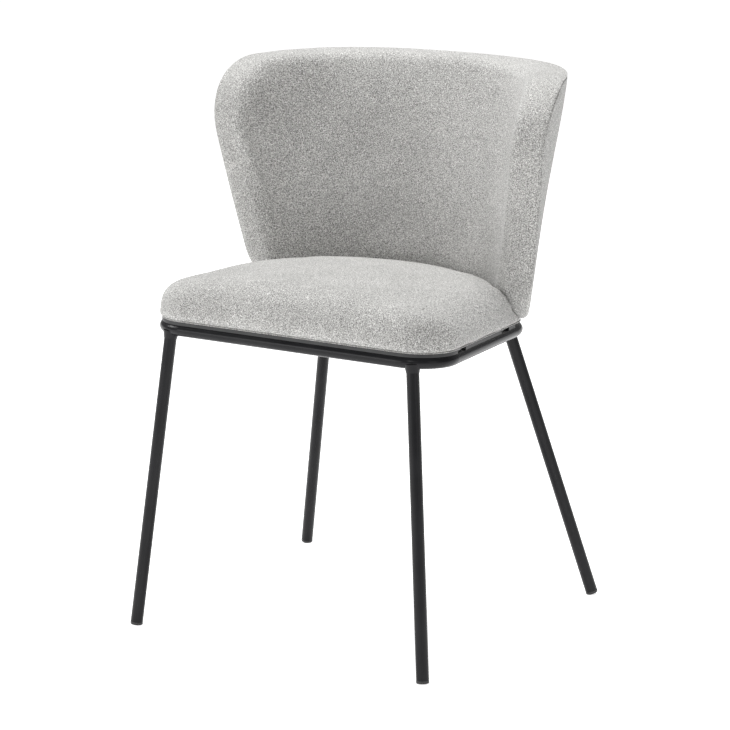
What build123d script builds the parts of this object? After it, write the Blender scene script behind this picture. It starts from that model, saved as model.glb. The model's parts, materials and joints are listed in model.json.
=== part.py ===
from build123d import *
import os
from math import cos, hypot, radians, sin, tan

# Dining chair: a welded frame of round steel tube, an upholstered seat pad and an upholstered back that
# wraps round the sitter. Millimetres and degrees. The origin is on the floor under the middle of the chair's
# box, the front faces -Y and +Z is up.

# ---- Frame ----
tube_diameter = 17.5
tube_wall = 1.5
seat_datum_ahead = 8.0       # the seat's own frame stands this far ahead of the origin
ring_height = 414.0          # tube centre above the floor at the seat's datum
ring_front = 195.0           # front rail ahead of the seat's datum
ring_rear = 146.0            # rear rail behind it
ring_half_width = 202.0      # side rail from the middle plane, at the datum
side_taper = 8.5             # side rails closing in towards the rear
front_bend_radius = 49.0
rear_bend_radius = 67.0
seat_rake = 2.6              # the seat plane falls towards the rear
front_foot_x = ring_half_width + 31.5        # the feet stand outside the ring
rear_foot_x = ring_half_width + 44.5
front_foot_y = ring_front + 35.0
rear_foot_y = ring_rear + 84.0
front_leg_angle = 22.0       # where the leg meets the bend, from the front rail's end
rear_leg_angle = 23.0        # the same, from the rear rail's end

# ---- Small frame pieces ----
weld_size = 2.5
weld_edge = 0.4              # bead's thickness at its lower end
glide_cap = 4.0
glide_plug = 16.0
glide_clearance = 0.1
glide_edge = 1.2
glide_facet = 1.0            # worn flat on the floor, measured up from the cap's lowest point
tab_length = 34.0
tab_width = 28.0
tab_thickness = 3.0
tab_corner = 6.0
tab_overlap = 2.0            # past the tube's centre line
front_tab_setback = 75.0     # tab's middle from the front rail
rear_tab_setback = 105.0     # and from the rear rail
rest_width = 11.0            # rubber strip under the pad's edge
rest_sink = 1.6              # how far the strip comes down the tube's side
rest_gap = 0.5               # strip's ends to the tabs
rest_end = 66.0              # strip stops this far ahead of the rear rail
seat_screw_inset = 20.0      # screw axis inside the tube's centre line
strap_width = 25.0
strap_thickness = 4.0
strap_height = 118.0
strap_x = 70.0

# ---- Fasteners ----
screw_diameter = 6.0
screw_clearance = 0.3
head_diameter = 11.0
head_height = 3.5
hex_size = 4.0
hex_depth = 2.0
washer_diameter = 16.0
washer_thickness = 1.2
nut_barrel = 8.0
nut_flange = 19.0
nut_flange_thickness = 1.5
seat_screw_length = 16.0
back_screw_length = 14.0
staple_width = 10.0
staple_depth = 6.0
staple_wire = 1.0
staple_pitch = 38.0
staple_inset = 9.0

# ---- Seat pad ----
pad_height = 70.0            # above the tabs, in the middle
pad_crown_radius = 1450.0
pad_crown_y = -30.0          # highest point of the crown
pad_overhang = 0.5           # pad edge beyond the tube's outer side
pad_edge_radius = 30.0
cover_thickness = 1.5
wadding_thickness = 5.0
board_thickness = 12.0
cover_return = 24.0          # cover folded under the board
lining_thickness = 0.6
pad_clearance = 1.0          # pad to the back's inner face

# ---- Back ----
back_thickness = 50.0
outer_foam = 5.0
shell_thickness = 9.0
shell_inset = 14.0           # shell edge inside the finished edge
back_gap = 1.0               # above the tube
layer_gap = 0.1              # glue line between layers
pocket_gap = 0.5             # foam clear of the hardware in its pockets
back_top = 364.0             # top edge above the ring's plane, at back_top_y
back_top_y = 150.0
back_top_slope = 0.08        # the top edge rises towards the rear
back_level = (0.0, 0.357 * back_top, 1.0165 * back_top)    # heights at which the outer plan curve is set
back_behind = (17.0, 40.0, 92.0)                     # rear of the curve behind the rear rail
wing_beyond = (29.5, 45.0, 77.0)                     # wing tips outside the side rails
wing_ahead = (111.0, 138.0, 171.0)                   # wing tips ahead of the rear rail
wing_splay = (18.8, -4.4, 8.3)
rear_handle_share = (0.644, 0.629, 1.03)             # of the ring's half width
wing_handle_share = (0.815, 0.678, 1.244)            # of the rear rail's setback
plan_depth = 190.0                                   # depth at which the plan curve would shrink to nothing
wing_front_low = 104.3       # front edge of the wings ahead of the rear rail, at the lower bend
wing_front_high = 144.4      # and at the upper bend
lower_bend_radius = 88.0
upper_bend_radius = 93.5
back_screw_rows = (62.0, 98.0)
thread_clearance = 0.05

# ---- Derived sizes ----
tube_radius = tube_diameter / 2
bore_radius = tube_radius - tube_wall
ring_top = tube_radius
tab_top = ring_top + tab_thickness
screw_hole_radius = screw_diameter / 2 + screw_clearance
seat_place = Pos(0, -seat_datum_ahead, ring_height) * Rot(X=-seat_rake)
mirror_sides = (-1, 1)

os.makedirs("parts", exist_ok=True)


def save(name, shape, colour):
    """Write one sub-part."""
    shape.label = name
    shape.color = Color(colour)
    export_step(shape, f"parts/{name}.step")


def group(shapes):
    """Separate solids of one node."""
    return Compound(children=[solid for shape in shapes for solid in shape.solids()])


def mirrored(shape):
    """A piece and its twin on the other side of the middle plane."""
    return [shape, mirror(shape, about=Plane.YZ)]


# ---- Frame: the ring under the seat ----
def side_x(y):
    return ring_half_width - y * tan(radians(side_taper))


ring_corners = [
    (side_x(-ring_front), -ring_front),
    (side_x(ring_rear), ring_rear),
    (-side_x(ring_rear), ring_rear),
    (-side_x(-ring_front), -ring_front),
]
ring_radii = [front_bend_radius, rear_bend_radius, rear_bend_radius, front_bend_radius]
ring_path = FilletPolyline(*ring_corners, radius=ring_radii, close=True)


def ring_tube(radius):
    """A closed tube round the ring's path, in the seat's plane."""
    start = Plane(origin=ring_path @ 0, z_dir=ring_path % 0)
    return sweep(start * Circle(radius), path=ring_path)


ring_solid = ring_tube(tube_radius)
ring_hollow = ring_solid - ring_tube(bore_radius)


def bend_centre(y_rail, radius, inward):
    """Centre of a bend between a cross rail and the right side rail."""
    y = y_rail + inward * radius
    return side_x(y) - radius / cos(radians(side_taper)), y


def leg_top(y_rail, radius, inward, angle):
    """Point of the ring's centre line where a leg joins, in the part's own frame."""
    cx, cy = bend_centre(y_rail, radius, inward)
    x = cx + radius * sin(radians(angle))
    y = cy - inward * radius * cos(radians(angle))
    return (seat_place * Pos(x, y, 0)).position


front_top = leg_top(-ring_front, front_bend_radius, 1, front_leg_angle)
rear_top = leg_top(ring_rear, rear_bend_radius, -1, rear_leg_angle)
ring_placed = seat_place * ring_solid


class Leg:
    """One leg: its tube, weld bead and glide, on the line from the foot to the ring."""

    def __init__(self, foot_x, foot_y, top):
        foot = Vector(foot_x, foot_y, 0)
        self.axis = (top - foot).normalized()
        lean = hypot(self.axis.X, self.axis.Y)
        # the cap's lowest point lies glide_facet below the floor and is cut flat there
        rise = (tube_radius * lean - glide_facet) / self.axis.Z
        self.foot = foot + self.axis * rise
        self.shoulder = self.foot + self.axis * glide_cap
        self.length = (top - self.shoulder).length
        self.top = top

    def bar(self, origin, radius, length):
        plane = Plane(origin=origin, z_dir=self.axis)
        return plane * Cylinder(radius, length, align=(Align.CENTER, Align.CENTER, Align.MIN))

    def tube(self):
        return (self.bar(self.shoulder, tube_radius, self.length)
                - self.bar(self.shoulder, bore_radius, self.length) - ring_placed)

    def weld(self):
        """Bead flaring from the leg's tube into the ring's."""
        reach = tube_radius + 2 * weld_size
        plane = Plane(origin=self.top - self.axis * reach, z_dir=self.axis)
        low = (Align.CENTER, Align.CENTER, Align.MIN)
        flare = plane * Cone(tube_radius + weld_edge, tube_radius + weld_size, reach - weld_size, align=low)
        bead = flare - ring_placed - self.bar(plane.origin, tube_radius, reach)
        return bead.solids().sort_by(SortBy.VOLUME)[-1]

    def glide(self):
        cap = self.bar(self.foot, tube_radius, glide_cap)
        cap = fillet(cap.edges().group_by(SortBy.LENGTH)[-1].sort_by(Axis.Z)[0], glide_edge)
        plug = self.bar(self.shoulder, bore_radius - glide_clearance, glide_plug)
        below = Pos(self.foot.X, self.foot.Y, -tube_diameter) * Box(*[2 * tube_diameter] * 3)
        return cap + plug - below


front_leg = Leg(front_foot_x, -front_foot_y - seat_datum_ahead, front_top)
rear_leg = Leg(rear_foot_x, rear_foot_y - seat_datum_ahead, rear_top)
steel = "black"
save("seat_frame_ring", seat_place * ring_hollow, steel)
welds = []
for end, leg in (("front", front_leg), ("rear", rear_leg)):
    welds += mirrored(leg.weld())
    for side, tube, glide in zip(("right", "left"), mirrored(leg.tube()), mirrored(leg.glide())):
        save(f"{end}_{side}_leg", tube, steel)
        save(f"{end}_{side}_glide", glide, "dimgray")
save("leg_welds", group(welds), steel)


# ---- Seat: places of the screws, and the tabs on the ring ----
def tab_frames():
    """Centre of each tab on the ring's centre line, with its inward direction (degrees)."""
    front_y = -ring_front + front_tab_setback
    rear_y = ring_rear - rear_tab_setback
    frames = []
    for y in (front_y, rear_y):
        frames.append((side_x(y), y, 180 + side_taper))
        frames.append((-side_x(y), y, -side_taper))
    return frames


def tab(x, y, turn):
    plate = Box(tab_length, tab_width, tab_thickness, align=(Align.MIN, Align.CENTER, Align.MIN))
    plate = fillet(plate.edges().filter_by(Axis.Z).sort_by(Axis.X)[-2:], tab_corner)
    hole = Pos(seat_screw_inset, 0, 0) * Cylinder(screw_hole_radius, 4 * tab_thickness)
    return Pos(x, y, ring_top) * Rot(Z=turn) * (Pos(-tab_overlap, 0, 0) * plate - hole)


seat_screws = [(x + seat_screw_inset * cos(radians(turn)), y + seat_screw_inset * sin(radians(turn)))
               for x, y, turn in tab_frames()]
tabs = [seat_place * (tab(*frame) - ring_solid) for frame in tab_frames()]
save("seat_mounting_tabs", group(tabs), steel)

# rubber strip on the ring's top, between the tabs, on which the pad's edge lies
ring_face = make_face(ring_path)
rest = offset(ring_face, rest_width / 2) - offset(ring_face, -rest_width / 2)
rest = Pos(0, 0, ring_top - rest_sink) * extrude(rest, tab_thickness + rest_sink)
rest_room = Pos(0, ring_rear - rest_end, ring_top) * Box(
    4 * ring_half_width, 4 * ring_front, 4 * tab_thickness, align=(Align.CENTER, Align.MAX, Align.CENTER))
rest = (rest & rest_room) - ring_solid
for x, y, turn in tab_frames():
    rest -= Pos(x, y, ring_top) * Rot(Z=turn) * Box(2 * tab_length, tab_width + 2 * rest_gap, 4 * tab_thickness)
save("seat_rest_strips", seat_place * group([rest]), "dimgray")


# ---- Back: the outer plan curve and slabs set in from it ----
def set_between(values, z):
    """Value at height z of the parabola through the three set heights."""
    total = 0.0
    for i, value in enumerate(values):
        weight = 1.0
        for j, level in enumerate(back_level):
            if j != i:
                weight *= (z - level) / (back_level[i] - level)
        total += value * weight
    return total


def plan_handles(z, depth):
    """Four Bezier points of the right half of the plan curve, at height z and depth in from the outside."""
    rear = ring_rear + set_between(back_behind, z) - depth
    splay = radians(set_between(wing_splay, z))
    out = Vector(cos(splay), sin(splay))
    along = Vector(-sin(splay), cos(splay))
    tip_x = ring_half_width + set_between(wing_beyond, z)
    tip = Vector(tip_x, ring_rear - set_between(wing_ahead, z)) - out * depth
    shrink = 1 - depth / plan_depth
    rear_point = Vector(ring_half_width * set_between(rear_handle_share, z) * shrink, rear)
    wing_point = tip + along * (ring_rear * set_between(wing_handle_share, z) * shrink)
    return Vector(0, rear), rear_point, wing_point, tip


def plan_curve(z, depth):
    """The whole plan curve at height z, from the left wing's front to the right wing's."""
    middle, rear_point, wing_point, tip = plan_handles(z, depth)
    right = Bezier(middle, rear_point, wing_point, tip)
    left = mirror(right, about=Plane.YZ)
    return Pos(0, 0, z) * left, Pos(0, 0, z) * right


def plan_section(z, outer_depth, inner_depth):
    edges = []
    ends = []
    for depth in (outer_depth, inner_depth):
        left, right = plan_curve(z, depth)
        edges += [left.edge(), right.edge()]
        middle, rear_point, wing_point, tip = plan_handles(z, depth)
        ends.append(tip)
    for side in mirror_sides:
        edges.append(Edge.make_line((side * ends[0].X, ends[0].Y, z), (side * ends[1].X, ends[1].Y, z)))
    return Face(Wire.combine(edges)[0])


slab_margin = 18.0
slab_levels = [-slab_margin]
slab_levels += [back_top * share for share in (0.16, 0.35, 0.57, 0.78)]
slab_levels.append(back_top + 2 * slab_margin)


def slab(outer_depth, inner_depth):
    """A curved slab of the back between two depths, taller and longer than the back itself."""
    return loft([plan_section(z, outer_depth, inner_depth) for z in slab_levels])


def side_outline(inset):
    """The back seen from the side, as a block across the whole width, set in from the finished edge."""
    slope = (wing_front_low - wing_front_high) / (back_top - upper_bend_radius - lower_bend_radius)
    base = ring_top + back_gap
    low = base + inset
    front_at_base = ring_rear - wing_front_low - slope * (base + lower_bend_radius) + inset * hypot(1, slope)
    top_at_datum = back_top - back_top_slope * back_top_y - inset * hypot(1, back_top_slope)
    corner_y = (front_at_base + slope * top_at_datum) / (1 - slope * back_top_slope)
    corner_z = top_at_datum + back_top_slope * corner_y
    far = 2 * ring_rear + ring_front
    far_z = top_at_datum + back_top_slope * far
    with BuildSketch(Plane.YZ) as outline:
        with BuildLine():
            FilletPolyline((far, low), (front_at_base + slope * low, low), (corner_y, corner_z), (far, far_z),
                           radius=[lower_bend_radius - inset, upper_bend_radius - inset])
            Line((far, far_z), (far, low))
        make_face()
    return extrude(outline.sketch, amount=far, both=True)


def back_piece(outer_depth, inner_depth, inset):
    return slab(outer_depth, inner_depth) & side_outline(inset)


def back_hollow(outer_depth, inner_depth, inset):
    """The same, running out through the face in front of it so that it opens what it is cut from."""
    return back_piece(outer_depth - 1, inner_depth, inset)


def surface_frame(x, z, depth):
    """Plane at a point of the slab's face at a depth, its Z pointing out of the back's rear."""
    def point(px, pz):
        a, b, c, d = plan_handles(pz, depth)
        low, high = 0.0, 1.0
        for _ in range(40):
            t = (low + high) / 2
            p = a * (1 - t) ** 3 + b * (3 * t * (1 - t) ** 2) + c * (3 * t * t * (1 - t)) + d * t ** 3
            low, high = (t, high) if p.X < px else (low, t)
        return Vector(px, p.Y, pz)

    here = point(abs(x), z)
    across = (point(abs(x) + 1, z) - here).normalized()
    up = (point(abs(x), z + 1) - here).normalized()
    normal = up.cross(across)
    side = 1 if x > 0 else -1
    return Plane(origin=(side * here.X, here.Y, here.Z), z_dir=(side * normal.X, normal.Y, normal.Z))


# ---- Fasteners: each is drawn head down on a plane whose Z runs up the shank ----
def screw(plane, length):
    low = (Align.CENTER, Align.CENTER, Align.MAX)
    high = (Align.CENTER, Align.CENTER, Align.MIN)
    head = Cylinder(head_diameter / 2, head_height, align=low)
    head = fillet(head.edges().filter_by(GeomType.CIRCLE).sort_by(Axis.Z)[0], head_height / 2)
    socket = Pos(0, 0, -head_height) * extrude(RegularPolygon(hex_size / 2, 6, major_radius=False), hex_depth)
    return plane * (head - socket + Cylinder(screw_diameter / 2, length, align=high))


def washer(plane):
    ring = Cylinder(washer_diameter / 2, washer_thickness, align=(Align.CENTER, Align.CENTER, Align.MIN))
    return plane * (ring - Cylinder(screw_hole_radius, 4 * washer_thickness))


def tee_nut(plane):
    """Barrel down into the wood, flange on its face."""
    barrel = Cylinder(nut_barrel / 2, nut_barrel, align=(Align.CENTER, Align.CENTER, Align.MAX))
    flange = Cylinder(nut_flange / 2, nut_flange_thickness, align=(Align.CENTER, Align.CENTER, Align.MIN))
    bore = Cylinder(screw_diameter / 2 + thread_clearance, 4 * nut_barrel)
    return plane * (barrel + flange - bore)


def bore_along(plane, radius):
    return plane * Cylinder(radius, 2 * back_thickness)


# ---- Back pieces: each layer starts a glue line in from the one outside it ----
padding_from = cover_thickness + layer_gap
padding_to = padding_from + outer_foam
shell_from = padding_to + layer_gap
shell_to = shell_from + shell_thickness
strap_from = shell_to + layer_gap
strap_to = strap_from + strap_thickness
foam_to = back_thickness - cover_thickness - layer_gap
core_inset = cover_thickness + layer_gap


def strap_block(side, margin):
    """Upright block round one strap, from inside the tube to the strap's top."""
    width = strap_width + 2 * margin
    height = strap_height + margin - ring_top / 2
    block = Box(width, ring_rear, height, align=(Align.CENTER, Align.CENTER, Align.MIN))
    return Pos(side * strap_x, ring_rear, ring_top / 2) * block


shell = back_piece(shell_from, shell_to, shell_inset)
outer_padding = back_piece(padding_from, padding_to, core_inset)
inner_foam = back_piece(shell_from, foam_to, core_inset)
inner_foam -= back_hollow(shell_from, shell_to + layer_gap, shell_inset - layer_gap)
inner_cover = back_piece(padding_from, back_thickness, 0)
inner_cover -= back_hollow(padding_from, foam_to + layer_gap, core_inset - layer_gap)

strap_layer = slab(strap_from, strap_to)
pocket_layer = slab(shell_to - layer_gap, strap_to + washer_thickness + head_height + pocket_gap)
grip = washer_thickness + strap_thickness + shell_thickness + 3 * layer_gap
straps = []
back_screws = []
back_washers = []
back_nuts = []
for side in mirror_sides:
    pocket = pocket_layer & strap_block(side, pocket_gap)
    inner_foam -= pocket
    inner_cover -= pocket
    strap = (strap_layer & strap_block(side, 0)) - ring_solid
    for row in back_screw_rows:
        front = surface_frame(side * strap_x, row, strap_to + washer_thickness)
        rear = Plane(origin=front.origin + front.z_dir * grip, z_dir=front.z_dir)
        back_washers.append(washer(front))
        back_screws.append(screw(front, back_screw_length))
        back_nuts.append(tee_nut(rear))
        strap = strap - bore_along(front, screw_hole_radius) - back_washers[-1]
        shell -= bore_along(front, nut_barrel / 2 + layer_gap)
        outer_padding -= bore_along(front, nut_flange / 2 + layer_gap)
    straps.append(strap)

save("back_shell", seat_place * shell, "burlywood")
save("back_support_straps", seat_place * group(straps), steel)
save("back_screws", seat_place * group(back_screws), "silver")
save("back_screw_washers", seat_place * group(back_washers), "silver")
save("back_tee_nuts", seat_place * group(back_nuts), "silver")
save("back_inner_foam", seat_place * inner_foam, "khaki")
save("back_outer_padding", seat_place * outer_padding, "khaki")
save("back_inner_cover", seat_place * inner_cover, "lightgray")
save("back_outer_cover", seat_place * back_piece(0, cover_thickness, 0), "lightgray")


# ---- Seat pieces ----
def pad_outline(inset):
    return offset(ring_face, tube_radius + pad_overhang - inset)


def back_room(gap):
    """The space that the back takes, with a gap round it."""
    return back_piece(-3 * tube_radius, back_thickness + gap, -gap)


def pad_body(inset, floor):
    """The crowned pad, its top and sides set in, standing on a floor in the seat's own frame."""
    radius = pad_crown_radius - inset
    crown_centre = tab_top + pad_height - pad_crown_radius
    block = Pos(0, 0, floor) * extrude(pad_outline(inset), 2 * pad_height)
    body = block & (Pos(0, pad_crown_y, crown_centre) * Sphere(radius))
    body = fillet(body.faces().sort_by(Axis.Z)[-1].edges(), pad_edge_radius - inset)
    return body - back_room(pad_clearance + inset)


def layer(low, thickness):
    """Everything between two heights in the seat's own frame."""
    wide = 4 * ring_half_width
    return Pos(0, 0, low) * Box(wide, wide, thickness, align=(Align.CENTER, Align.CENTER, Align.MIN))


wadding_depth = cover_thickness + wadding_thickness
board_low = tab_top + cover_thickness
board_top = board_low + board_thickness
board = pad_body(wadding_depth, board_low) & layer(board_low, board_thickness)
board_outline = board
foam = pad_body(wadding_depth, board_top)
wadding = pad_body(cover_thickness, board_low) - pad_body(wadding_depth, board_low)
cover = pad_body(0, tab_top) - pad_body(cover_thickness, board_low) - pad_body(cover_return, ring_top)
lining = pad_body(cover_return + layer_gap, ring_top) & layer(board_low - lining_thickness, lining_thickness)

seat_screw_set = []
seat_washers = []
seat_nuts = []
for x, y in seat_screws:
    under = Plane((x, y, ring_top - washer_thickness))
    seat_washers.append(washer(under))
    seat_screw_set.append(screw(under, seat_screw_length))
    seat_nuts.append(tee_nut(Plane((x, y, board_top))))
    board -= bore_along(under, nut_barrel / 2)
    lining -= bore_along(under, screw_hole_radius)
foam -= group(seat_nuts)


def staple(plane):
    crown = Box(staple_width, staple_wire, staple_wire, align=(Align.CENTER, Align.CENTER, Align.MAX))
    leg = Box(staple_wire, staple_wire, staple_depth, align=(Align.CENTER, Align.CENTER, Align.MIN))
    reach = (staple_width - staple_wire) / 2
    return plane * (crown + Pos(-reach, 0, 0) * leg + Pos(reach, 0, 0) * leg)


under_board = board_outline.faces().sort_by(Axis.Z)[0]
staple_line = offset(under_board, -staple_inset).faces()[0].outer_wire()
staple_count = round(staple_line.length / staple_pitch)
staples = []
for i in range(staple_count):
    at = staple_line @ (i / staple_count)
    along = staple_line % (i / staple_count)
    near_tab = min(hypot(at.X - x, at.Y - y) for x, y in seat_screws) < tab_length
    if not near_tab:
        staples.append(staple(Plane((at.X, at.Y, tab_top), x_dir=(along.X, along.Y, 0))))
staples = group(staples)

save("seat_board", seat_place * (board - staples), "burlywood")
save("seat_foam", seat_place * foam, "khaki")
save("seat_wadding", seat_place * wadding, "white")
save("seat_cover", seat_place * (cover - staples), "lightgray")
save("seat_lining", seat_place * lining, "black")
save("seat_staples", seat_place * staples, "silver")
save("seat_screws", seat_place * group(seat_screw_set), "silver")
save("seat_screw_washers", seat_place * group(seat_washers), "silver")
save("seat_tee_nuts", seat_place * group(seat_nuts), "silver")
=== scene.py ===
"""Dining chair: an upholstered seat pad and a wrap-round back on a black tube frame.

The soft pieces are drawn here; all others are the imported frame's own nodes, given their finishes.
"""

import json
import logging
import math
from dataclasses import dataclass, field
from enum import Enum

import bmesh
import bpy
import numpy as np
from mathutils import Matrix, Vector


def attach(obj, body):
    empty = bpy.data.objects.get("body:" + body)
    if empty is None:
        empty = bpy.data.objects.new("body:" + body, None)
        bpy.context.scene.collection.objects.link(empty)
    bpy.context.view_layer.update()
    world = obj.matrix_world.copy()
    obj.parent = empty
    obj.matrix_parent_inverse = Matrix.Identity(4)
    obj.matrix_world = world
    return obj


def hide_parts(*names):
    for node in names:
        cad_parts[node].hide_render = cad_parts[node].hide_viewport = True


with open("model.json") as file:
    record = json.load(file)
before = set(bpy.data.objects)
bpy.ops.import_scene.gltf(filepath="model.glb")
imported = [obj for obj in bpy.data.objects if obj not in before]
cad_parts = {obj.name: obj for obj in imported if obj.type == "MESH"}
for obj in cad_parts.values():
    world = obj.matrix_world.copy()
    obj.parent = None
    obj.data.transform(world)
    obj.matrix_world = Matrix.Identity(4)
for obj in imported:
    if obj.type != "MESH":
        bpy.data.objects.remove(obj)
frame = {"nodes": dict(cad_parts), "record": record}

LOG = logging.getLogger("chair")
MM = 0.001
WHOLE_BODY = "root"
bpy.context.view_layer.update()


class Slot(Enum):
    """Material slots of the record."""

    STEEL = "black_steel"
    GLIDE = "glide_plastic"
    COVER = "woven_cover"
    LINING = "lining_cloth"
    PLYWOOD = "plywood"
    FOAM = "foam"
    WADDING = "wadding"
    ZINC = "zinc_steel"


class Side(Enum):
    """The two panels of the back."""

    INNER = "inner"
    OUTER = "outer"


# ---------------------------------------------------------------- node helpers


class Recipe:
    """A material under construction, with short calls for its nodes."""

    def __init__(self, name: str) -> None:
        """Start an empty node material that ends in one Principled shader.

        Args:
            name: the material's name.
        """
        self.material = bpy.data.materials.new(name)
        self.material.use_nodes = True
        self.tree = self.material.node_tree
        self.tree.nodes.clear()
        self.output = self.node("ShaderNodeOutputMaterial")
        self.shader = self.node("ShaderNodeBsdfPrincipled")
        self.link(self.shader, "BSDF", self.output, "Surface")
        self.coords = self.node("ShaderNodeTexCoord")

    def node(self, kind: str, **settings: object) -> bpy.types.Node:
        """Add one node.

        Args:
            kind: Blender's node type.
            settings: attributes to set on it.

        Returns:
            The node.
        """
        made = self.tree.nodes.new(kind)
        for key, value in settings.items():
            setattr(made, key, value)
        return made

    def link(self, source: bpy.types.Node, out: str | int, target: bpy.types.Node, into: str | int) -> None:
        """Join an output to an input."""
        self.tree.links.new(source.outputs[out], target.inputs[into])

    def constant(self, **values: object) -> None:
        """Set the shader's own sockets.

        Args:
            values: socket names with underscores for spaces, and their values.
        """
        for key, value in values.items():
            self.shader.inputs[key.replace("_", " ")].default_value = value

    def mapped(self, scale: tuple[float, float, float],
               turn: tuple[float, float, float] = (0, 0, 0)) -> bpy.types.Node:
        """Object coordinates, turned and scaled.

        Args:
            scale: factors along the three turned axes, in features per metre.
            turn: rotation in degrees.

        Returns:
            The mapping node that gives the scaled vector.
        """
        spin = self.node("ShaderNodeMapping", vector_type="TEXTURE")
        spin.inputs["Rotation"].default_value = tuple(math.radians(a) for a in turn)
        size = self.node("ShaderNodeMapping")
        size.inputs["Scale"].default_value = scale
        self.link(self.coords, "Object", spin, "Vector")
        self.link(spin, "Vector", size, "Vector")
        return size

    def noise(self, vector: bpy.types.Node, scale: float, detail: float = 2.0,
              rough: float = 0.5) -> bpy.types.Node:
        """Noise on a vector.

        Args:
            vector: node that gives the coordinates.
            scale: noise scale.
            detail: number of octaves.
            rough: how strong the finer octaves are.

        Returns:
            The noise node.
        """
        made = self.node("ShaderNodeTexNoise")
        made.inputs["Scale"].default_value = scale
        made.inputs["Detail"].default_value = detail
        made.inputs["Roughness"].default_value = rough
        self.link(vector, "Object" if vector == self.coords else 0, made, "Vector")
        return made

    def math(self, operation: str, a: object, b: object = 0.0, c: object = 0.0) -> bpy.types.Node:
        """A maths node on numbers or on nodes' first outputs.

        Args:
            operation: Blender's name of the operation.
            a: first operand.
            b: second operand.
            c: third operand.

        Returns:
            The maths node.
        """
        made = self.node("ShaderNodeMath", operation=operation)
        for index, value in enumerate((a, b, c)):
            if isinstance(value, bpy.types.Node):
                self.link(value, 0, made, index)
            else:
                made.inputs[index].default_value = value
        return made

    def ramp(self, source: bpy.types.Node,
             stops: list[tuple[float, tuple[float, float, float]]]) -> bpy.types.Node:
        """Colour ramp over a node's first output.

        Args:
            source: node that gives the factor.
            stops: positions and linear colours.

        Returns:
            The ramp node.
        """
        made = self.node("ShaderNodeValToRGB")
        elements = made.color_ramp.elements
        while len(elements) < len(stops):
            elements.new(0.5)
        for element, (position, colour) in zip(elements, stops):
            element.position = position
            element.color = (*colour, 1.0)
        self.link(source, 0, made, "Fac")
        return made

    def bump(self, height: bpy.types.Node, depth: float,
             under: bpy.types.Node | None = None) -> bpy.types.Node:
        """Bump of a true depth.

        Args:
            height: node whose first output is the height, from 0 to 1.
            depth: metres from the lowest to the highest point.
            under: a bump node that this one lies on.

        Returns:
            The bump node.
        """
        made = self.node("ShaderNodeBump")
        made.inputs["Strength"].default_value = 1.0
        made.inputs["Distance"].default_value = depth
        self.link(height, 0, made, "Height")
        if under is not None:
            self.link(under, "Normal", made, "Normal")
        return made

    def finish(self, bump: bpy.types.Node | None = None) -> bpy.types.Material:
        """Plug in the bump and return the material."""
        if bump is not None:
            self.link(bump, "Normal", self.shader, "Normal")
        return self.material


# ---------------------------------------------------------------- finishes


@dataclass(frozen=True)
class WovenCloth:
    """Melange upholstery cloth: light and dark threads spun together, in a short slanting weave."""

    name: str = "woven_cloth"
    dark: tuple[float, float, float] = (0.10, 0.098, 0.093)
    middle: tuple[float, float, float] = (0.37, 0.366, 0.355)
    light: tuple[float, float, float] = (0.74, 0.735, 0.715)
    thread_pitch: float = 1.15 * MM
    thread_stretch: float = 2.2
    slant: tuple[float, float, float] = (35.0, -38.0, 20.0)
    weave_depth: float = 0.35 * MM
    fuzz_depth: float = 0.12 * MM
    roughness: float = 0.92
    sheen: float = 0.25

    def material(self) -> bpy.types.Material:
        """Build the cloth.

        Returns:
            The material.
        """
        r = Recipe(self.name)
        per_metre = 1 / self.thread_pitch
        along = self.mapped_threads(r, per_metre)
        threads = r.noise(along, 1.0, detail=1.0)
        specks = r.noise(r.coords, per_metre * 0.85, detail=2.0, rough=0.6)
        blend = r.math("MULTIPLY_ADD", threads, 0.55, r.math("MULTIPLY", specks, 0.45))
        broad = r.noise(r.coords, 14.0, detail=2.0)
        shade = r.math("ADD", blend, r.math("MULTIPLY", r.math("SUBTRACT", broad, 0.5), 0.06))
        colour = r.ramp(shade, [(0.34, self.dark), (0.5, self.middle), (0.64, self.light)])
        r.link(colour, "Color", r.shader, "Base Color")
        cells = r.node("ShaderNodeTexVoronoi", feature="F1")
        cells.inputs["Scale"].default_value = 1.0
        r.link(along, 0, cells, "Vector")
        weave = r.bump(r.math("SUBTRACT", 1.0, cells), self.weave_depth)
        fuzz = r.bump(specks, self.fuzz_depth, under=weave)
        r.constant(Roughness=self.roughness, Sheen_Weight=self.sheen, Sheen_Roughness=0.5,
                   Specular_IOR_Level=0.15)
        return r.finish(fuzz)

    def mapped_threads(self, r: Recipe, per_metre: float) -> bpy.types.Node:
        """Coordinates stretched along the threads' slant."""
        return r.mapped((per_metre, per_metre, per_metre / self.thread_stretch), self.slant)


@dataclass(frozen=True)
class CoatedSteel:
    """Satin black powder coat over steel."""

    name: str = "coated_steel"
    colour: tuple[float, float, float] = (0.006, 0.006, 0.0072)
    worn: tuple[float, float, float] = (0.011, 0.011, 0.0125)
    roughness: tuple[float, float] = (0.20, 0.27)
    specular: float = 0.2
    grain_depth: float = 0.015 * MM
    grain_scale: float = 900.0

    def material(self) -> bpy.types.Material:
        """Build the coat.

        Returns:
            The material.
        """
        r = Recipe(self.name)
        broad = r.noise(r.coords, 22.0, detail=3.0)
        r.link(r.ramp(broad, [(0.35, self.colour), (0.7, self.worn)]), "Color", r.shader, "Base Color")
        low, high = self.roughness
        r.link(r.math("MULTIPLY_ADD", broad, high - low, low), 0, r.shader, "Roughness")
        grain = r.noise(r.coords, self.grain_scale, detail=2.0)
        r.constant(Specular_IOR_Level=self.specular)
        return r.finish(r.bump(grain, self.grain_depth))


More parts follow.
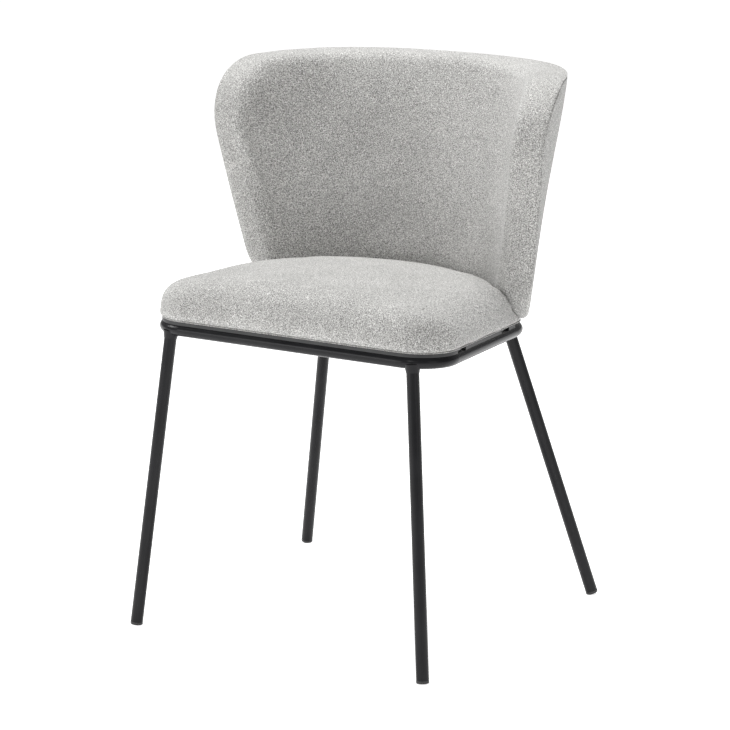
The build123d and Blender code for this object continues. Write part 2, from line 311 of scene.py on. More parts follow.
@dataclass(frozen=True)
class Grained:
    """A plain material with two colours mottled together and a fine grain."""

    name: str
    base: tuple[float, float, float]
    mottle: tuple[float, float, float]
    mottle_scale: float
    grain_scale: float
    grain_depth: float
    roughness: float
    metallic: float = 0.0
    stretch: tuple[float, float, float] = (1.0, 1.0, 1.0)

    def material(self) -> bpy.types.Material:
        """Build the mottled finish.

        Returns:
            The material.
        """
        r = Recipe(self.name)
        spread = r.mapped(self.stretch)
        patches = r.noise(spread, self.mottle_scale, detail=3.0)
        r.link(r.ramp(patches, [(0.35, self.base), (0.65, self.mottle)]), "Color", r.shader, "Base Color")
        grain = r.noise(spread, self.grain_scale, detail=2.0)
        r.constant(Roughness=self.roughness, Metallic=self.metallic)
        return r.finish(r.bump(grain, self.grain_depth))


@dataclass(frozen=True)
class Thread:
    """Dark sewing thread in a seam's valley."""

    name: str = "seam_thread"
    colour: tuple[float, float, float] = (0.05, 0.049, 0.047)
    ply_scale: float = 1400.0
    ply_depth: float = 0.1 * MM

    def material(self) -> bpy.types.Material:
        """Build the thread."""
        r = Recipe(self.name)
        ply = r.noise(r.coords, self.ply_scale, detail=1.0)
        r.link(r.ramp(ply, [(0.3, tuple(c * 0.7 for c in self.colour)), (0.7, self.colour)]), "Color",
               r.shader, "Base Color")
        r.constant(Roughness=0.8)
        return r.finish(r.bump(ply, self.ply_depth))


class Finishes:
    """All finishes, by the record's slots."""

    def __init__(self) -> None:
        """Build every material once."""
        grained = {
            Slot.GLIDE: Grained("glide_plastic", (0.018, 0.018, 0.019), (0.026, 0.026, 0.027),
                                60, 1800, 0.03 * MM, 0.5),
            Slot.LINING: Grained("lining_cloth", (0.012, 0.012, 0.013), (0.03, 0.03, 0.031),
                                 500, 1500, 0.15 * MM, 0.95),
            Slot.PLYWOOD: Grained("birch_plywood", (0.52, 0.38, 0.22), (0.63, 0.49, 0.31),
                                  24, 300, 0.1 * MM, 0.6, stretch=(1.0, 6.0, 6.0)),
            Slot.FOAM: Grained("cut_foam", (0.72, 0.66, 0.42), (0.8, 0.74, 0.5), 90, 1200, 0.3 * MM, 0.95),
            Slot.WADDING: Grained("fibre_wadding", (0.8, 0.8, 0.78), (0.88, 0.88, 0.86),
                                  60, 700, 0.5 * MM, 0.95),
            Slot.ZINC: Grained("zinc_plate", (0.5, 0.5, 0.5), (0.62, 0.61, 0.58),
                               120, 1600, 0.01 * MM, 0.32, 1.0),
        }
        self.by_slot = {slot: finish.material() for slot, finish in grained.items()}
        self.by_slot[Slot.COVER] = WovenCloth().material()
        self.by_slot[Slot.STEEL] = CoatedSteel().material()
        self.thread = Thread().material()


# ---------------------------------------------------------------- mesh helpers


@dataclass(frozen=True)
class SeatPlane:
    """The raked plane of the seat ring, in which pad and back are drawn."""

    height: float = 414.0
    ahead: float = 8.0
    rake: float = 2.6

    def place(self, points: np.ndarray) -> np.ndarray:
        """Points of the seat's plane in the chair's frame.

        Args:
            points: millimetres, shape (n, 3).

        Returns:
            Metres, shape (n, 3).
        """
        c, s = math.cos(math.radians(self.rake)), math.sin(math.radians(self.rake))
        x, y, z = points.T
        return np.stack([x, y * c + z * s - self.ahead, self.height - y * s + z * c], axis=1) * MM

    def local(self, points: np.ndarray) -> np.ndarray:
        """Points of the chair's frame in the seat's plane.

        Args:
            points: metres, shape (n, 3).

        Returns:
            Millimetres, shape (n, 3).
        """
        c, s = math.cos(math.radians(self.rake)), math.sin(math.radians(self.rake))
        x, y, z = (points / MM).T
        y, z = y + self.ahead, z - self.height
        return np.stack([x, y * c - z * s, y * s + z * c], axis=1)


def make_object(name: str, points: np.ndarray, faces: list[tuple[int, ...]]) -> bpy.types.Object:
    """A smooth-shaded mesh object whose faces all point outwards.

    Args:
        name: the piece's name.
        points: metres, shape (n, 3).
        faces: vertex numbers of each face.

    Returns:
        The object, linked to the scene.
    """
    mesh = bpy.data.meshes.new(name)
    mesh.from_pydata([tuple(map(float, p)) for p in points], [], [tuple(map(int, f)) for f in faces])
    build = bmesh.new()
    build.from_mesh(mesh)
    bmesh.ops.remove_doubles(build, verts=build.verts, dist=1e-6)
    bmesh.ops.recalc_face_normals(build, faces=build.faces)
    build.to_mesh(mesh)
    build.free()
    mesh.shade_smooth()
    made = bpy.data.objects.new(name, mesh)
    bpy.context.scene.collection.objects.link(made)
    return made


def coordinates(mesh: bpy.types.Mesh) -> np.ndarray:
    """All vertex positions of a mesh, in metres, shape (n, 3)."""
    values = np.empty(len(mesh.vertices) * 3)
    mesh.vertices.foreach_get("co", values)
    return values.reshape(-1, 3)


def set_coordinates(mesh: bpy.types.Mesh, points: np.ndarray) -> None:
    """Move a mesh's vertices to new positions, in metres."""
    mesh.vertices.foreach_set("co", points.ravel())
    mesh.update()


def coons(ring: np.ndarray, first: int, second: int) -> np.ndarray:
    """Fill a closed loop with a regular grid.

    Args:
        ring: loop values, shape (n, k), symmetric about its first point.
        first: number of the first logical corner.
        second: number of the second corner; the other two mirror these.

    Returns:
        Grid, shape (rows, columns, k), its rows running from the first side to the opposite one.
    """
    total = len(ring)
    low = np.concatenate([ring[total - first:], ring[:first + 1]])
    right = ring[first:second + 1]
    high = ring[second:total - second + 1][::-1]
    left = np.concatenate([ring[total - second:total - first + 1]])[::-1]
    rows, columns = len(right), len(low)
    u = np.linspace(0, 1, columns)[None, :, None]
    v = np.linspace(0, 1, rows)[:, None, None]
    edges = (1 - v) * low[None] + v * high[None] + (1 - u) * left[:, None] + u * right[:, None]
    corners = ((1 - u) * (1 - v) * low[0] + u * (1 - v) * low[-1] + (1 - u) * v * high[0] + u * v * high[-1])
    return edges - corners


class Skin:
    """Vertices and faces of one closed form made of rings and filled grids."""

    def __init__(self) -> None:
        """Start with nothing."""
        self.points: list[np.ndarray] = []
        self.faces: list[tuple[int, ...]] = []
        self.count = 0

    def add(self, points: np.ndarray) -> int:
        """Add points and return the number of the first."""
        start = self.count
        self.points.append(points)
        self.count += len(points)
        return start

    def bands(self, rings: list[np.ndarray]) -> tuple[int, int]:
        """Join closed rings of the same length.

        Args:
            rings: point arrays, shape (n, 3).

        Returns:
            The numbers of the first and last rings' first points.
        """
        starts = [self.add(ring) for ring in rings]
        n = len(rings[0])
        for a, b in zip(starts, starts[1:]):
            for i in range(n):
                j = (i + 1) % n
                self.faces.append((a + i, a + j, b + j, b + i))
        return starts[0], starts[-1]

    def fill(self, grid: np.ndarray) -> None:
        """Add a grid; its border lies on a ring and is merged with it later.

        Args:
            grid: shape (rows, columns, 3).
        """
        rows, columns = grid.shape[:2]
        start = self.add(grid.reshape(-1, 3))
        for r in range(rows - 1):
            for c in range(columns - 1):
                a = start + r * columns + c
                self.faces.append((a, a + 1, a + columns + 1, a + columns))

    def build(self, name: str, plane: SeatPlane) -> bpy.types.Object:
        """Make the object.

        Args:
            name: the piece's name.
            plane: where the points lie.

        Returns:
            The object.
        """
        return make_object(name, plane.place(np.concatenate(self.points)), self.faces)


@dataclass(frozen=True)
class Press:
    """How padding presses its cover out."""

    pressure: float
    reach: float
    stiffness: float = 15.0
    mass: float = 0.3
    steps: int = 20
    smoothing: int = 6

    def settle(self, piece: bpy.types.Object, held: np.ndarray) -> None:
        """Run the cloth, keep every point within reach and write the result to the mesh.

        Args:
            piece: the closed form, a little smaller than the finished one.
            held: numbers of the vertices that are nailed or glued down.
        """
        before = coordinates(piece.data)
        group = piece.vertex_groups.new(name="held")
        group.add([int(i) for i in held], 1.0, "REPLACE")
        cloth = piece.modifiers.new("press", "CLOTH")
        cloth.point_cache.frame_start = 1
        cloth.point_cache.frame_end = self.steps
        settings = cloth.settings
        settings.quality = 6
        settings.mass = self.mass
        settings.use_pressure = True
        settings.uniform_pressure_force = self.pressure
        settings.tension_stiffness = self.stiffness
        settings.compression_stiffness = self.stiffness
        settings.bending_stiffness = 1.0
        settings.effector_weights.gravity = 0.0
        settings.vertex_group_mass = group.name
        scene = bpy.context.scene
        for step in range(1, self.steps + 1):
            scene.frame_set(step)
        evaluated = piece.evaluated_get(bpy.context.evaluated_depsgraph_get())
        moved = coordinates(evaluated.data) - before
        piece.modifiers.remove(cloth)
        piece.vertex_groups.remove(group)
        scene.frame_set(1)
        length = np.linalg.norm(moved, axis=1, keepdims=True) + 1e-12
        moved *= np.tanh(length / self.reach) * self.reach / length
        moved = self.relaxed(piece.data, moved, held)
        set_coordinates(piece.data, before + moved)
        LOG.info("%s settled by up to %.1f mm", piece.name, np.linalg.norm(moved, axis=1).max() / MM)

    def relaxed(self, mesh: bpy.types.Mesh, moved: np.ndarray, held: np.ndarray) -> np.ndarray:
        """Even out the movement between neighbours.

        Args:
            mesh: the piece's mesh.
            moved: movement of each vertex, shape (n, 3).
            held: vertices that stay.

        Returns:
            The smoothed movement.
        """
        ends = np.empty(len(mesh.edges) * 2, dtype=np.int64)
        mesh.edges.foreach_get("vertices", ends)
        a, b = ends.reshape(-1, 2).T
        degree = np.bincount(ends, minlength=len(moved))[:, None]
        for _ in range(self.smoothing):
            total = np.zeros_like(moved)
            np.add.at(total, a, moved[b])
            np.add.at(total, b, moved[a])
            moved = 0.5 * moved + 0.5 * total / degree
            moved[held] = 0.0
        return moved


def dress(piece: bpy.types.Object, slot: Slot, finishes: Finishes, subdivide: int = 0) -> bpy.types.Object:
    """Give a piece its finish, slot and body.

    Args:
        piece: the piece.
        slot: its material slot.
        finishes: all finishes.
        subdivide: subdivision levels.

    Returns:
        The same piece.
    """
    piece.data.materials.clear()
    piece.data.materials.append(finishes.by_slot[slot])
    if subdivide:
        smooth = piece.modifiers.new("smooth", "SUBSURF")
        smooth.levels = subdivide
        smooth.render_levels = subdivide
    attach(piece, WHOLE_BODY)
    return piece


# ---------------------------------------------------------------- the back


@dataclass
class WrapBack:
    """The upholstered back: an inner panel that wraps over the rim and an outer panel sewn to it.

    All sizes are millimetres in the seat's plane; levels are heights above the ring.
    """

    plane: SeatPlane = field(default_factory=SeatPlane)
    thickness: float = 50.0
    base: float = 9.75
    top: float = 364.0
    top_y: float = 150.0
    top_slope: float = 0.08
    levels: tuple[float, float, float] = (0.0, 130.0, 370.0)
    rear_y: tuple[float, float, float] = (163.0, 186.0, 238.0)
    wing_x: tuple[float, float, float] = (231.5, 247.0, 279.0)
    wing_y: tuple[float, float, float] = (35.0, 8.0, -25.0)
    wing_splay: tuple[float, float, float] = (18.8, -4.4, 8.3)
    rear_handle: tuple[float, float, float] = (130.0, 127.0, 208.0)
    wing_handle: tuple[float, float, float] = (119.0, 99.0, 181.6)
    handle_depth: float = 190.0
    front_low: float = 41.7
    front_high: float = 1.6
    lower_bend: float = 88.0
    upper_bend: float = 93.5
    inner_edge: float = 12.5
    seam_inset: float = 6.2
    outer_edge: float = 22.8
    seam_depth: float = 2.4
    seam_gap: float = 1.3
    lining_depth: float = 6.0
    outer_pad: float = 5.0
    rear_steps: int = 36
    lower_steps: int = 22
    front_steps: int = 34
    upper_steps: int = 28
    edge_steps: int = 9
    level_rounds: int = 6
    upper_saving: int = 3
    lining_points: np.ndarray | None = None

    def at(self, values: tuple[float, float, float], z: np.ndarray) -> np.ndarray:
        """Value at heights z of the parabola through the three levels."""
        total = np.zeros_like(z)
        for i, value in enumerate(values):
            weight = np.ones_like(z)
            for j, level in enumerate(self.levels):
                if j != i:
                    weight = weight * (z - level) / (self.levels[i] - level)
            total = total + value * weight
        return total

    def surface(self, t: np.ndarray, z: np.ndarray, depth: np.ndarray | float) -> np.ndarray:
        """Points of the back.

        Args:
            t: place along the plan curve, from -1 at the left wing to 1 at the right one.
            z: heights.
            depth: how far in from the outer face.

        Returns:
            Points in the seat's plane, shape (n, 3).
        """
        s = np.abs(t)
        rear = self.at(self.rear_y, z) - depth
        splay = np.radians(self.at(self.wing_splay, z))
        tip_x = self.at(self.wing_x, z) - np.cos(splay) * depth
        tip_y = self.at(self.wing_y, z) - np.sin(splay) * depth
        shrink = 1 - depth / self.handle_depth
        hold = self.at(self.wing_handle, z) * shrink
        bx = self.at(self.rear_handle, z) * shrink
        cx, cy = tip_x - np.sin(splay) * hold, tip_y + np.cos(splay) * hold
        w1, w2, w3 = 3 * s * (1 - s) ** 2, 3 * s * s * (1 - s), s ** 3
        x = bx * w1 + cx * w2 + tip_x * w3
        y = rear * ((1 - s) ** 3 + w1) + cy * w2 + tip_y * w3
        return np.stack([np.sign(t) * x, y, z + 0 * y], axis=-1)

    def place_at(self, y: np.ndarray, z: np.ndarray, depth: float) -> np.ndarray:
        """Place along the right half of the plan curve where it reaches y."""
        low, high = np.zeros_like(y), np.full_like(y, 1.25)
        for _ in range(44):
            middle = (low + high) / 2
            behind = self.surface(middle, z, depth)[..., 1] > y
            low, high = np.where(behind, middle, low), np.where(behind, high, middle)
        return (low + high) / 2

    def outline(self, inset: float, depth: float) -> np.ndarray:
        """The closed outline, a distance in from the finished edge.

        Args:
            inset: distance in, seen from the side.
            depth: depth in from the outer face.

        Returns:
            Plan place and height, shape (n, 2), starting at the bottom in the middle of the rear.
        """
        lower_z = self.base + self.lower_bend
        rise = self.top_slope
        slope = (self.front_high - self.front_low) / (self.top - self.upper_bend - self.lower_bend)
        lean, top_lean = math.hypot(1, slope), math.hypot(1, rise)
        front_turn = math.atan2(slope, -1) % math.tau
        lower_y = self.front_low + self.lower_bend * lean
        turns = np.linspace(1.5 * math.pi, front_turn, self.lower_steps + 1)
        radius = self.lower_bend - inset
        lower = np.stack([lower_y + radius * np.cos(turns), lower_z + radius * np.sin(turns)], axis=1)
        centre_level = self.top - self.top_y * rise - self.upper_bend * top_lean
        upper_y = self.front_low + slope * (centre_level - lower_z) + self.upper_bend * lean
        upper_y /= 1 - slope * rise
        upper_z = centre_level + rise * upper_y
        turns = np.linspace(front_turn, math.atan2(1, -rise), self.upper_steps + 1)
        radius = self.upper_bend - inset
        upper = np.stack([upper_y + radius * np.cos(turns), upper_z + radius * np.sin(turns)], axis=1)
        straight = np.linspace(lower[-1], upper[0], self.front_steps + 1)[1:-1]
        edge = np.concatenate([lower, straight, upper])
        t = self.place_at(edge[:, 0], edge[:, 1], depth)
        along = np.linspace(0, 1, self.rear_steps + 1)[:-1]
        bottom = np.stack([t[0] * along, np.full_like(along, self.base + inset)], axis=1)
        along = t[-1] * np.linspace(1, 0, self.rear_steps - self.upper_saving + 1)[1:]
        level = np.full_like(along, self.top)
        for _ in range(self.level_rounds):
            y = self.surface(along, level, depth)[..., 1]
            level = self.top + rise * (y - self.top_y) - inset * top_lean
        high = np.stack([along, level], axis=1)
        right = np.concatenate([bottom, np.stack([t, edge[:, 1]], axis=1), high])
        left = right[1:-1][::-1] * (-1, 1)
        return np.concatenate([right, left])

    def corners(self) -> tuple[int, int]:
        """Numbers of the outline points that are the filled grid's corners."""
        first = self.rear_steps + self.lower_steps // 2
        second = self.rear_steps + self.lower_steps + self.front_steps + self.upper_steps // 2
        return first, second

    def ring(self, inset: float, depth: float) -> np.ndarray:
        """One ring of points at an inset and a depth."""
        t, z = self.outline(inset, depth).T
        return self.surface(t, z, depth)

    def grid(self, inset: float, depth: float) -> np.ndarray:
        """The filled face inside a ring."""
        filled = coons(self.outline(inset, depth), *self.corners())
        return self.surface(filled[..., 0], filled[..., 1], depth)

    def inner_profile(self) -> list[tuple[float, float]]:
        """Inset and depth of each ring of the inner panel, from its face over the rim into the seam."""
        r, flat = self.inner_edge, self.thickness - self.inner_edge
        turn = np.linspace(0, math.pi / 2, self.edge_steps + 1)
        rings = [(r - r * math.sin(a), flat + r * math.cos(a)) for a in turn]
        lip = self.seam_inset - self.seam_gap
        rings += [(lip - lip * math.cos(b), self.outer_edge * (1 - math.sin(b))) for b in turn[:-1]]
        rings += [(lip, 0.25), (lip + 0.55 * self.seam_gap, 0.45 * self.seam_depth),
                  (lip + 0.8 * self.seam_gap, self.seam_depth), (lip + self.seam_gap, 2 * self.seam_depth)]
        return rings + [(self.seam_inset + 4, self.lining_depth)]

    def outer_profile(self) -> list[tuple[float, float]]:
        """Inset and depth of each ring of the outer panel, from its face into the seam and under."""
        lip = self.seam_inset + self.seam_gap
        return [(lip + 8, 0.0), (lip + 3, 0.0), (lip + 1.2, 0.08), (lip, 0.3),
                (lip - 0.55 * self.seam_gap, 0.5 * self.seam_depth),
                (lip - 0.7 * self.seam_gap, self.seam_depth),
                (lip, 2 * self.seam_depth), (lip + 4, self.outer_pad)]

    def panel(self, side: Side) -> bpy.types.Object:
        """One closed panel.

        Args:
            side: which of the two.

        Returns:
            The object.
        """
        profile = self.inner_profile() if side is Side.INNER else self.outer_profile()
        skin = Skin()
        skin.bands([self.ring(inset, depth) for inset, depth in profile])
        skin.fill(self.grid(*profile[0]))
        skin.fill(self.grid(*profile[-1])[:, ::-1])
        return skin.build(f"back_{side.value}_panel", self.plane)

    def seam_line(self) -> bpy.types.Object:
        """The line of thread lying in the seam's valley."""
        points = self.plane.place(self.ring(self.seam_inset, 1.35 * self.seam_depth))
        curve = bpy.data.curves.new("back_seam_thread", "CURVE")
        curve.dimensions = "3D"
        line = curve.splines.new("POLY")
        line.points.add(len(points) - 1)
        for knot, point in zip(line.points, points):
            knot.co = (*point, 1.0)
        line.use_cyclic_u = True
        curve.bevel_depth = 0.45 * MM
        curve.bevel_resolution = 2
        made = bpy.data.objects.new(curve.name, curve)
        bpy.context.scene.collection.objects.link(made)
        return made

    def held(self, piece: bpy.types.Object) -> np.ndarray:
        """Vertices of the inner panel that stay: most of its seam, its base and its lining's face.

        Args:
            piece: the inner panel.

        Returns:
            Their numbers.
        """
        place = self.plane.local(coordinates(piece.data))
        panel_rings = len(self.ring(0, 0))
        # merging doubles reorders the vertices, so this run of numbers also takes in some
        # that aren't in the seam
        seam = np.arange(panel_rings * (2 * self.edge_steps - 2), panel_rings * (2 * self.edge_steps + 6))
        low = np.nonzero(place[:, 2] < self.base + 12)[0]
        return np.unique(np.concatenate([seam[seam < len(place)], low, self.lining_points]))

    def build(self, finishes: Finishes) -> list[bpy.types.Object]:
        """Make and dress the back.

        Args:
            finishes: all finishes.

        Returns:
            The pieces.
        """
        inner = self.panel(Side.INNER)
        outer = self.panel(Side.OUTER)
        place = self.plane.local(coordinates(inner.data))
        rear_face = self.grid(self.seam_inset + 4, self.lining_depth).reshape(-1, 3)
        lining = {tuple(np.round(p, 2)) for p in rear_face}
        matching = [i for i, p in enumerate(place) if tuple(np.round(p, 2)) in lining]
        self.lining_points = np.array(matching, dtype=int)
        Press(pressure=4.0, reach=3.0 * MM).settle(inner, self.held(inner))
        dress(inner, Slot.COVER, finishes, subdivide=1)
        dress(outer, Slot.COVER, finishes, subdivide=1)
        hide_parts("back_inner_cover", "back_inner_foam")
        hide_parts("back_outer_cover", "back_outer_padding")
        thread = self.seam_line()
        thread.data.materials.append(finishes.thread)
        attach(thread, WHOLE_BODY)
        return [inner, outer, thread]


# ---------------------------------------------------------------- the seat


@dataclass
class SeatPad:
    """The crowned seat pad, cut to the back behind it, and the cover's turned-under edge.

    All sizes are millimetres in the seat's plane.
    """

    back: WrapBack
    plane: SeatPlane = field(default_factory=SeatPlane)
    ring_front: float = 195.0
    ring_rear: float = 146.0
    ring_half_width: float = 202.0
    side_taper: float = 8.5
    front_bend: float = 49.0
    rear_bend: float = 67.0
    tube_radius: float = 8.75
    overhang: float = 0.5
    floor: float = 13.3
    fold_low: float = 11.75
    fold_width: float = 24.0
    height: float = 70.0
    crown_radius: float = 1450.0
    crown_y: float = -30.0
    edge_radius: float = 30.0
    lower_edge: float = 4.0
    back_gap: float = 0.8
    fold_level: float = 14.0
    face_samples: int = 200
    voxel: float = 4.5
    straight_steps: int = 60
    side_steps: int = 44
    bend_steps: int = 20
    edge_steps: int = 10

    def outline(self, inset: float) -> np.ndarray:
        """Closed outline of the pad, a distance in from its edge.

        Args:
            inset: distance in.

        Returns:
            Points, shape (n, 2), starting at the front in the middle and going right.
        """
        taper = math.radians(self.side_taper)
        out = self.tube_radius + self.overhang - inset

        def bend(y_rail: float, radius: float, inward: int) -> np.ndarray:
            y = y_rail + inward * radius
            x = self.ring_half_width - y * math.tan(taper) - radius / math.cos(taper)
            start, end = (-math.pi / 2, taper) if inward > 0 else (taper, math.pi / 2)
            turn = np.linspace(start, end, self.bend_steps + 1)
            reach = radius + out
            return np.stack([x + reach * np.cos(turn), y + reach * np.sin(turn)], axis=1)

        front = bend(-self.ring_front, self.front_bend, 1)
        rear = bend(self.ring_rear, self.rear_bend, -1)
        half = self.straight_steps // 2
        front_rail = np.linspace((0, front[0, 1]), front[0], half + 1)[:-1]
        side_rail = np.linspace(front[-1], rear[0], self.side_steps + 1)[1:-1]
        rear_rail = np.linspace(rear[-1], (0, rear[-1, 1]), half + 1)[1:]
        right = np.concatenate([front_rail, front, side_rail, rear, rear_rail])
        return np.concatenate([right, right[1:-1][::-1] * (-1, 1)])

    def corners(self) -> tuple[int, int]:
        """Outline numbers of the filled grid's corners."""
        first = self.straight_steps // 2 + self.bend_steps // 2
        return first, first + self.bend_steps + self.side_steps

    def crown(self, x: np.ndarray, y: np.ndarray, drop: float = 0.0) -> np.ndarray:
        """Height of the crowned top."""
        radius = self.crown_radius - drop
        centre = self.fold_low + self.height - self.crown_radius
        return centre + np.sqrt(radius ** 2 - x ** 2 - (y - self.crown_y) ** 2)

    def rings(self) -> list[np.ndarray]:
        """Rings of the pad, from the rounded top edge down the side and under."""
        r = self.edge_radius
        made = []
        for a in np.linspace(0, math.pi / 2, self.edge_steps + 1):
            x, y = self.outline(r * (1 - math.sin(a))).T
            high = self.crown(*self.outline(r).T)
            made.append(np.stack([x, y, high - r * (1 - math.cos(a))], axis=1))
        x, y = self.outline(0).T
        low = self.floor + self.lower_edge
        for share in np.linspace(0, 1, 6)[1:]:
            z = made[self.edge_steps][:, 2] * (1 - share) + low * share
            made.append(np.stack([x, y, z], axis=1))
        for b in np.linspace(0, math.pi / 2, 4)[1:]:
            x, y = self.outline(self.lower_edge * (1 - math.cos(b))).T
            made.append(np.stack([x, y, np.full_like(x, low - self.lower_edge * math.sin(b))], axis=1))
        return made

    def whole(self) -> bpy.types.Object:
        """The pad before the back is cut out of it."""
        skin = Skin()
        rings = self.rings()
        skin.bands(rings)
        top = coons(self.outline(self.edge_radius), *self.corners())
        skin.fill(np.concatenate([top, self.crown(top[..., 0], top[..., 1])[..., None]], axis=-1))
        under = coons(self.outline(self.lower_edge), *self.corners())
        skin.fill(np.concatenate([under, np.full(under.shape[:2] + (1,), self.floor)], axis=-1)[:, ::-1])
        return skin.build("seat_pad", self.plane)

    def cutter(self) -> bpy.types.Object:
        """The back with a small gap round it and no hollow behind, to cut the pad with."""
        gap = self.back_gap
        skin = Skin()
        b = self.back
        profile = [(inset - gap, depth + gap) for inset, depth in b.inner_profile()[:2 * b.edge_steps - 2]]
        profile += [(-gap, -3 * self.tube_radius)]
        profile.sort(key=lambda pair: -pair[1])
        skin.bands([b.ring(inset, depth) for inset, depth in profile])
        skin.fill(b.grid(*profile[0]))
        skin.fill(b.grid(*profile[-1])[:, ::-1])
        return skin.build("pad_cutter", self.plane)

    def cut(self, pad: bpy.types.Object) -> None:
        """Cut the back's shape out of the pad and remesh it in even squares."""
        tool = self.cutter()
        cut = pad.modifiers.new("cut", "BOOLEAN")
        cut.operation = "DIFFERENCE"
        cut.solver = "EXACT"
        cut.object = tool
        even = pad.modifiers.new("even", "REMESH")
        even.mode = "VOXEL"
        even.voxel_size = self.voxel * MM
        even.use_smooth_shade = True
        dg = bpy.context.evaluated_depsgraph_get()
        remade = bpy.data.meshes.new_from_object(pad.evaluated_get(dg))
        pad.modifiers.clear()
        old, pad.data = pad.data, remade
        bpy.data.meshes.remove(old)
        bpy.data.objects.remove(tool)
        pad.data.name = pad.name

    def fold(self) -> bpy.types.Object:
        """The strip of cover turned under the board and stapled."""
        skin = Skin()
        profile = [(3.4, self.floor - 0.1), (3.4, self.floor - 0.6),
                   (3.9, self.fold_low + 0.25), (4.8, self.fold_low),
                   (self.fold_width - 1, self.fold_low), (self.fold_width - 0.2, self.fold_low + 0.3),
                   (self.fold_width, self.floor - 0.5), (self.fold_width, self.floor - 0.1)]
        rings = []
        for inset, z in profile:
            x, y = self.outline(inset).T
            y = np.minimum(y, self.rear_limit(x, y, inset))
            rings.append(np.stack([x, y, np.full_like(x, z)], axis=1))
        skin.bands(rings + [rings[0]])
        return skin.build("seat_cover_fold", self.plane)

    def rear_limit(self, x: np.ndarray, y: np.ndarray, inset: float) -> np.ndarray:
        """How far back the fold may reach: it stops short of the back's inner face."""
        t = np.linspace(0, 1.1, self.face_samples)
        level = np.full_like(t, self.back.base + self.fold_level)
        face = self.back.surface(t, level, self.back.thickness + self.back_gap + inset)
        order = np.argsort(face[:, 0])
        limit = np.interp(np.abs(x), face[order, 0], face[order, 1])
        return np.where(np.abs(x) < face[:, 0].max(), limit, y)

    def build(self, finishes: Finishes) -> list[bpy.types.Object]:
        """Make and dress the seat.

        Args:
            finishes: all finishes.

        Returns:
            The pieces.
        """
        pad = self.whole()
        self.cut(pad)
        place = self.plane.local(coordinates(pad.data))
        held = np.nonzero(place[:, 2] < self.floor + 6)[0]
        Press(pressure=4.0, reach=3.0 * MM, smoothing=10).settle(pad, held)
        dress(pad, Slot.COVER, finishes, subdivide=1)
        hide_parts("seat_cover", "seat_wadding", "seat_foam")
        fold = dress(self.fold(), Slot.COVER, finishes)
        return [pad, fold]


# ---------------------------------------------------------------- frame and hardware


class Chassis:
    """The CAD nodes that stay as they are: tube frame, glides, board, lining and hardware."""

    def build(self, finishes: Finishes) -> list[bpy.types.Object]:
        """Give every shown CAD node its finish.

        Args:
            finishes: all finishes.

        Returns:
            The nodes' objects.
        """
        slots = {row["node"]: row["material_slot"] for row in frame["record"]["subparts"]}
        dressed = []
        for name, node in sorted(frame["nodes"].items()):
            finish = finishes.by_slot[Slot(slots[name])]
            if not node.data.materials:
                node.data.materials.append(finish)
            for index in range(len(node.data.materials)):
                node.data.materials[index] = finish
            dressed.append(node)
        return dressed


# ---------------------------------------------------------------- studio


@dataclass(frozen=True)
class Lamp:
    """One soft box."""

    name: str
    place: tuple[float, float, float]
    size: tuple[float, float]
    watts: float
    aim: tuple[float, float, float] = (0.0, 0.0, 0.45)

    def hang(self) -> None:
        """Put the soft box in the scene, facing its aim."""
        data = bpy.data.lights.new(self.name, "AREA")
        data.shape = "RECTANGLE"
        data.size, data.size_y = self.size
        data.energy = self.watts
        lamp = bpy.data.objects.new(self.name, data)
        lamp.location = self.place
        lamp.rotation_euler = (Vector(self.aim) - Vector(self.place)).to_track_quat("-Z", "Y").to_euler()
        bpy.context.scene.collection.objects.link(lamp)


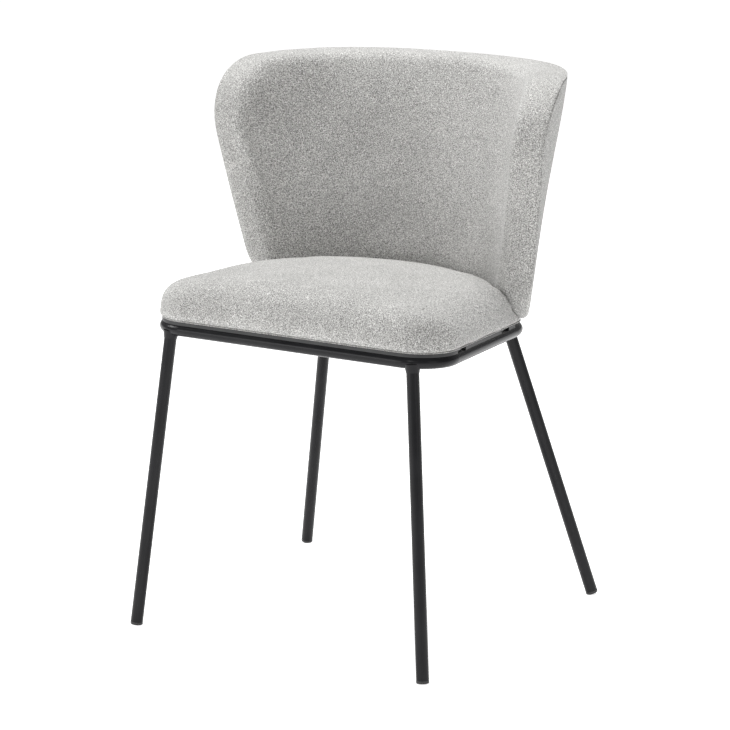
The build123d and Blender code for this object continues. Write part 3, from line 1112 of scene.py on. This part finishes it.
@dataclass
class Studio:
    """White floor, soft boxes and the camera."""

    camera_place: tuple[float, float, float] = (2.0714, -3.3469, 1.2928)
    camera_yaw: float = 0.555
    camera_pitch: float = 0.234
    focal_length: float = 142.36
    sensor: float = 36.0
    sky: float = 0.31
    backdrop: float = 1.05
    floor_size: float = 60.0
    floor_glow: float = 0.76
    lamps: tuple[Lamp, ...] = (
        Lamp("key", (-3.0, -1.2, 2.3), (1.2, 1.2), 42.0),
        Lamp("front", (0.7, -3.2, 2.2), (0.35, 0.35), 9.0),
        Lamp("fill", (-1.6, -3.2, 0.9), (1.6, 1.2), 20.0),
        Lamp("right", (3.2, -1.2, 1.2), (1.2, 1.8), 6.0),
        Lamp("top", (-0.1, 0.5, 3.0), (1.4, 1.4), 76.0),
    )

    def build(self) -> None:
        """Set up everything round the chair."""
        self.floor()
        self.world()
        for lamp in self.lamps:
            lamp.hang()
        self.camera()
        bpy.context.scene.view_settings.view_transform = "Standard"

    def floor(self) -> None:
        """A plain white floor."""
        half = self.floor_size / 2
        corners = np.array([(-half, -half, 0), (half, -half, 0), (half, half, 0), (-half, half, 0)])
        floor = make_object("studio_floor", corners, [(0, 1, 2, 3)])
        r = Recipe("studio_floor")
        tone = r.noise(r.coords, 3.0)
        white = r.ramp(tone, [(0.3, (0.93, 0.93, 0.93)), (0.7, (0.95, 0.95, 0.95))])
        r.link(white, "Color", r.shader, "Base Color")
        r.constant(Roughness=0.9, Emission_Color=(1.0, 1.0, 1.0, 1.0), Emission_Strength=self.floor_glow)
        floor.data.materials.append(r.finish())

    def world(self) -> None:
        """Even white light from all round."""
        world = bpy.data.worlds.new("studio")
        world.use_nodes = True
        tree = world.node_tree
        light = tree.nodes["Background"]
        light.inputs["Color"].default_value = (1.0, 1.0, 1.0, 1.0)
        light.inputs["Strength"].default_value = self.sky
        seen = tree.nodes.new("ShaderNodeBackground")
        seen.inputs["Strength"].default_value = self.backdrop
        choose = tree.nodes.new("ShaderNodeMixShader")
        path = tree.nodes.new("ShaderNodeLightPath")
        tree.links.new(path.outputs["Is Camera Ray"], choose.inputs[0])
        tree.links.new(light.outputs[0], choose.inputs[1])
        tree.links.new(seen.outputs[0], choose.inputs[2])
        tree.links.new(choose.outputs[0], tree.nodes["World Output"].inputs["Surface"])
        bpy.context.scene.world = world

    def camera(self) -> None:
        """The camera that the scene is shown through."""
        data = bpy.data.cameras.new("view")
        data.sensor_width = self.sensor
        data.lens = self.focal_length
        data.clip_end = 200.0
        camera = bpy.data.objects.new("view", data)
        camera.location = self.camera_place
        camera.rotation_euler = (math.pi / 2 - self.camera_pitch, 0.0, self.camera_yaw)
        bpy.context.scene.collection.objects.link(camera)
        bpy.context.scene.camera = camera


def main() -> None:
    """Build the chair and its studio, and report each piece."""
    logging.basicConfig(level=logging.INFO, format="%(message)s")
    finishes = Finishes()
    back = WrapBack()
    for part in (Chassis(), back, SeatPad(back)):
        for piece in part.build(finishes):
            LOG.info("%s: %s", type(part).__name__, piece.name)
    Studio().build()


if __name__ == "__main__":
    main()
